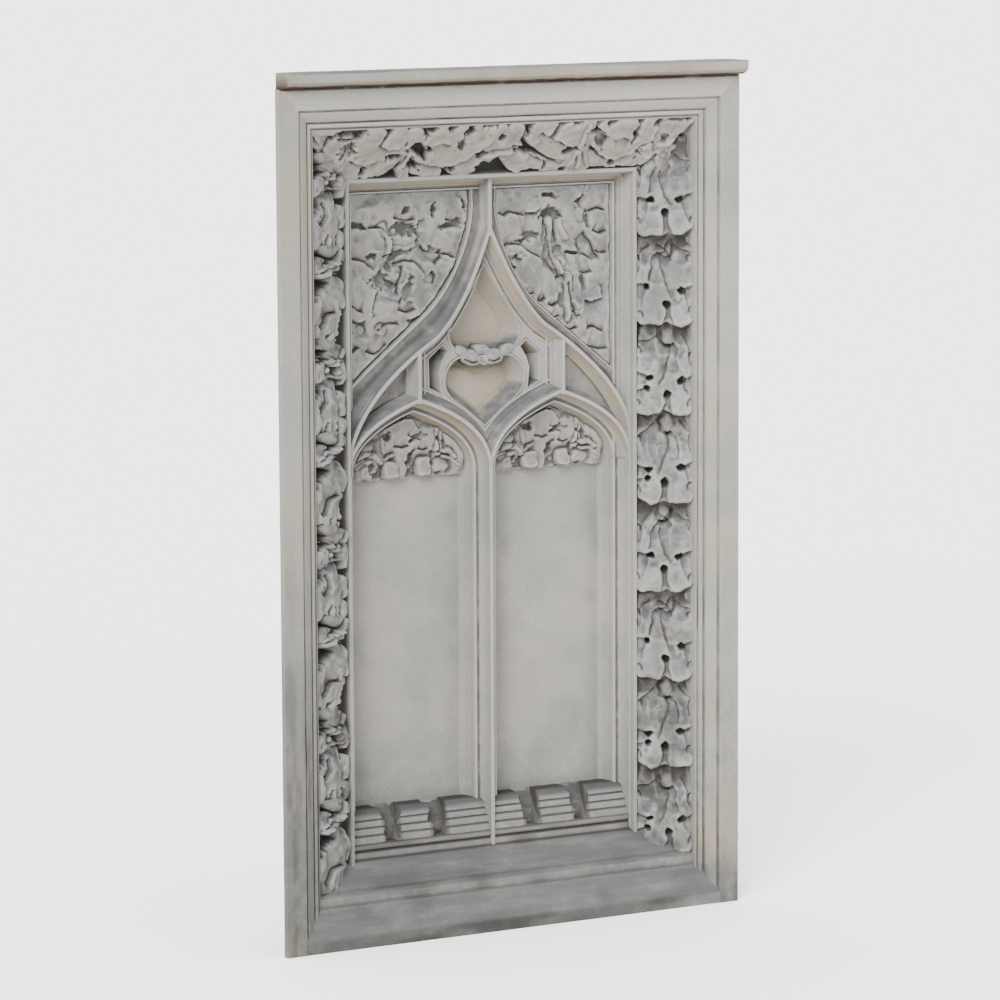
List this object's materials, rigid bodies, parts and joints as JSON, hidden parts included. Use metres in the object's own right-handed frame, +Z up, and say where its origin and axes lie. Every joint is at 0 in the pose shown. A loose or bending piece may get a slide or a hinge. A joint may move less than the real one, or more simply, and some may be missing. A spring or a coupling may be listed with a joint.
{
  "type": "stone relief panel",
  "caption": "Upright limestone blind-tracery panel with an ogee hood over pointed lights, a leaf-carved border, leafy spandrels and a moulded ledge along its top.",
  "frame": {"origin": "middle of the flat back, on the plane that beds against the wall", "axes": "+Y out of the back into the wall, so the carved front faces -Y; +Z up the panel; +X to the right seen from the front"},
  "size_m": [0.913, 0.209, 1.53],
  "materials": {
    "panel": "weathered matt pale grey-beige limestone, warmer in the sunk fields, darker and greener low down",
    "cap_ledge": "weathered matt pale grey limestone with a brown mortar joint beneath"
  },
  "bodies": {
    "root": {"panel": "panel", "cap_ledge": "cap_ledge"}
  },
  "joints": []
}
